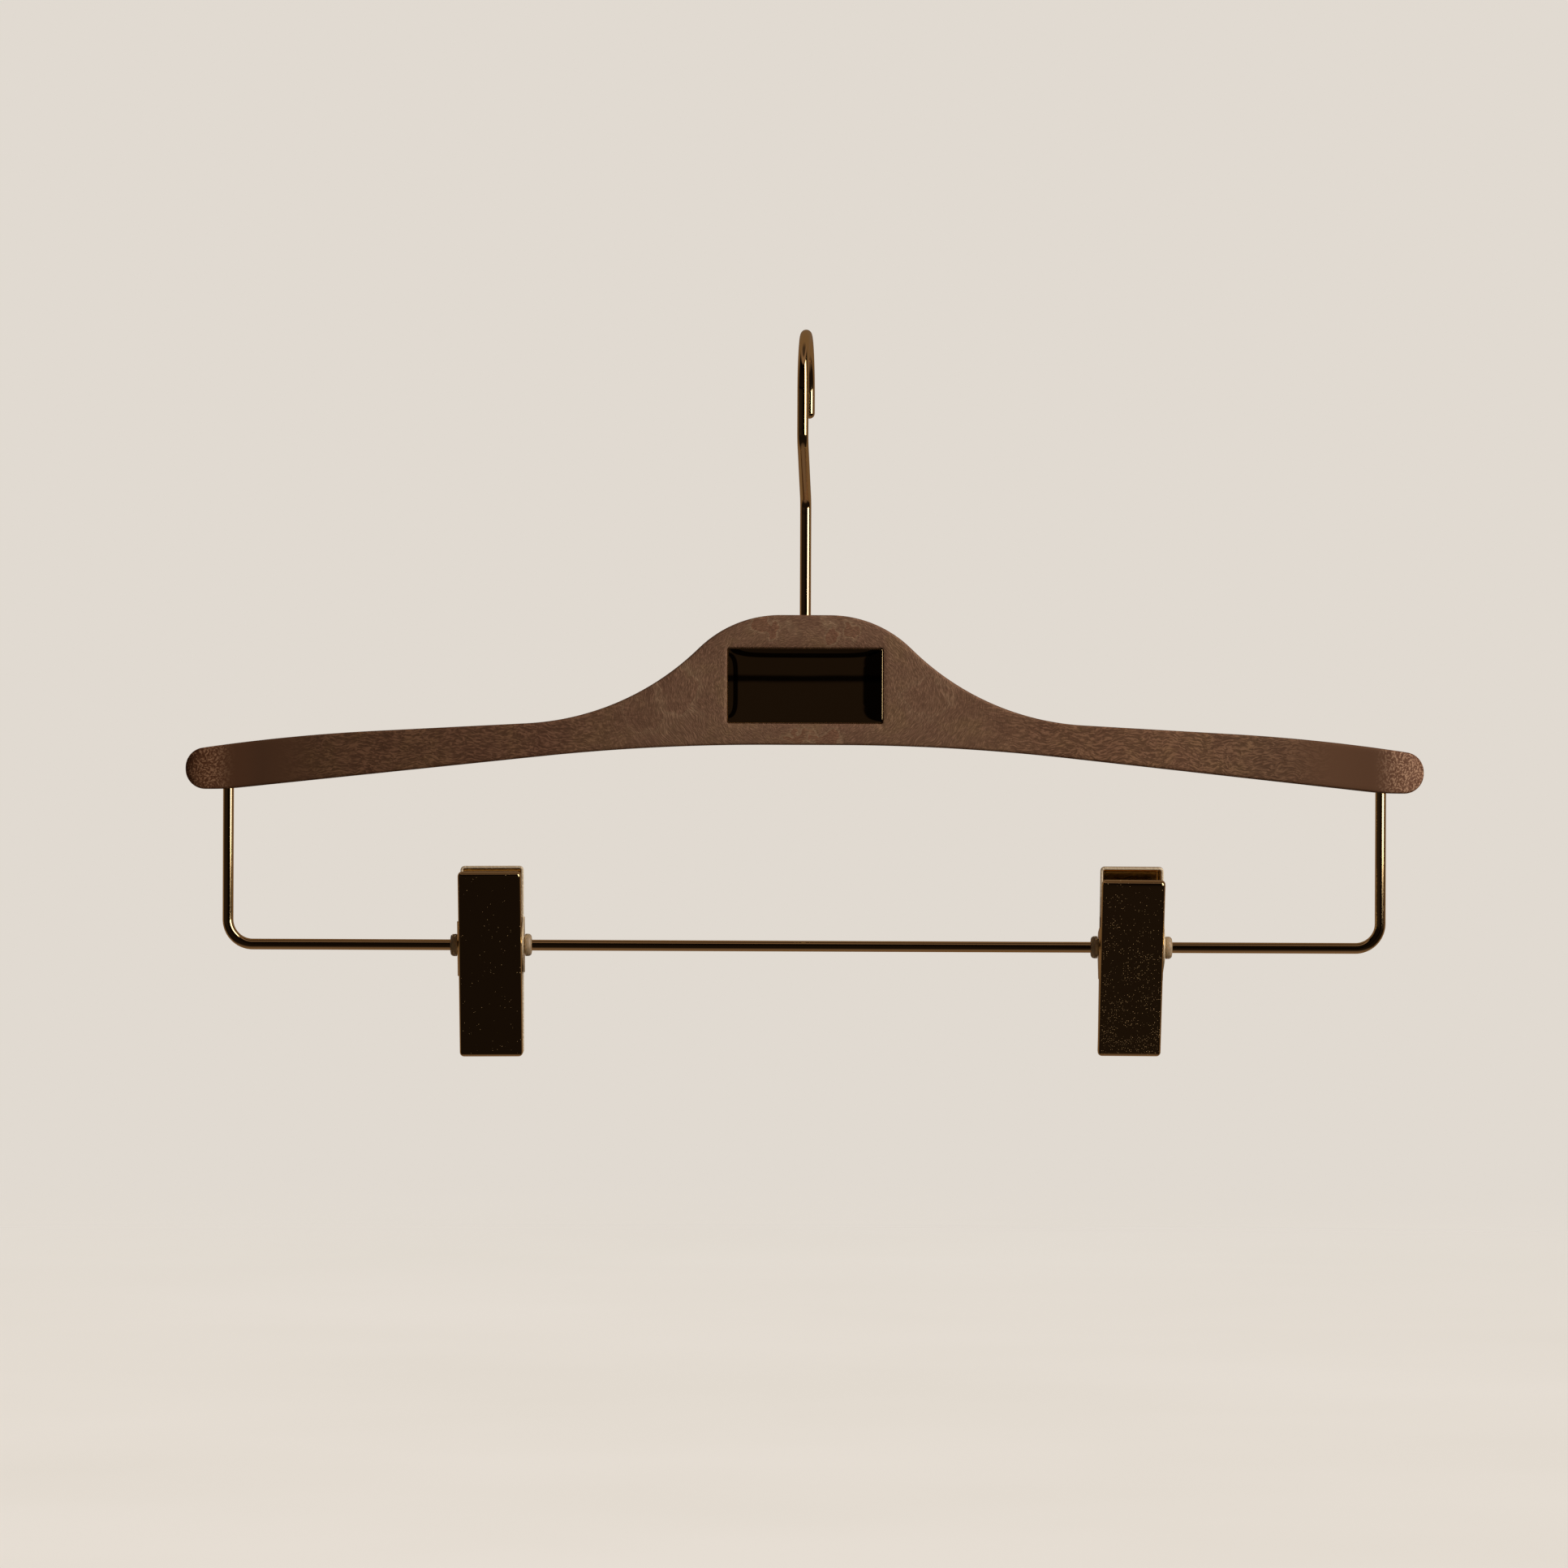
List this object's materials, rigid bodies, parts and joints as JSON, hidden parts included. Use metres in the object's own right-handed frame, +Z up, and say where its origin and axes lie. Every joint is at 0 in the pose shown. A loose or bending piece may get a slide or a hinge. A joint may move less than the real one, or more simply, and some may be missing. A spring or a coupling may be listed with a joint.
{
  "type": "trouser clip hanger",
  "caption": "Slim arched hanger with a swivel wire hook, a blank name plate, a wire drop bar and spring clips that slide and turn on the bar.",
  "frame": {"origin": "the hook's seat: the inner top of the crook, where the hanger rests on a rail", "axes": "+X along the body, +Z up, -Y towards the front that carries the name plate"},
  "size_m": [0.4, 0.0416, 0.2355],
  "materials": {
    "pearl_bronze_plastic": "moulded plastic with pearl pigment, bronze brown, satin gloss",
    "gold_plated_steel": "bright gold plated steel",
    "plain_steel": "drawn steel wire and plain stampings",
    "natural_nylon": "natural translucent nylon",
    "pad_rubber": "ribbed grip pad",
    "foam_tape": "double-sided foam tape"
  },
  "bodies": {
    "hook": {"hook": "gold_plated_steel", "hook_washer": "plain_steel"},
    "hanger": {"hanger_body": "pearl_bronze_plastic", "adhesive_pad": "foam_tape", "name_plate": "gold_plated_steel", "trouser_bar": "gold_plated_steel"},
    "left_clip_bushes": {"left_clip_left_bush": "natural_nylon", "left_clip_right_bush": "natural_nylon"},
    "left_clip_front": {"left_clip_front_plate": "gold_plated_steel", "left_clip_front_pad": "pad_rubber", "left_clip_spring": "plain_steel"},
    "left_clip_back": {"left_clip_back_plate": "gold_plated_steel", "left_clip_back_pad": "pad_rubber"},
    "right_clip_bushes": {"right_clip_left_bush": "natural_nylon", "right_clip_right_bush": "natural_nylon"},
    "right_clip_front": {"right_clip_front_plate": "gold_plated_steel", "right_clip_front_pad": "pad_rubber", "right_clip_spring": "plain_steel"},
    "right_clip_back": {"right_clip_back_plate": "gold_plated_steel", "right_clip_back_pad": "pad_rubber"}
  },
  "joints": [
    {"name": "hook_swivel", "type": "hinge", "parent": "hook", "child": "hanger", "pos_m": [0, 0, -0.0958], "axis": [0, 0, 1], "continuous": true},
    {"name": "left_clip_slide", "type": "slide", "parent": "hanger", "child": "left_clip_bushes", "axis": [1, 0, 0], "range_m": [-0.062, 0.0855]},
    {"name": "left_clip_turn", "type": "hinge", "parent": "left_clip_bushes", "child": "left_clip_front", "pos_m": [-0.1011, 0, -0.1957], "axis": [1, -0.0007, 0.0061], "continuous": true},
    {"name": "left_clip_open", "type": "hinge", "parent": "left_clip_front", "child": "left_clip_back", "pos_m": [-0.1011, 0, -0.1957], "axis": [1, -0.0007, 0.0061], "range_deg": [0, 25], "stiffness_Nm_per_rad": 0.25, "springref_deg": -68.75, "deforming": ["left_clip_spring"]},
    {"name": "right_clip_slide", "type": "slide", "parent": "hanger", "child": "right_clip_bushes", "axis": [1, 0, 0], "range_m": [-0.0905, 0.058]},
    {"name": "right_clip_turn", "type": "hinge", "parent": "right_clip_bushes", "child": "right_clip_front", "pos_m": [0.1058, 0, -0.1957], "axis": [1, 0.0009, -0.0034], "continuous": true},
    {"name": "right_clip_open", "type": "hinge", "parent": "right_clip_front", "child": "right_clip_back", "pos_m": [0.1058, 0, -0.1957], "axis": [1, 0.0009, -0.0034], "range_deg": [0, 25], "stiffness_Nm_per_rad": 0.25, "springref_deg": -68.75, "deforming": ["right_clip_spring"]}
  ]
}
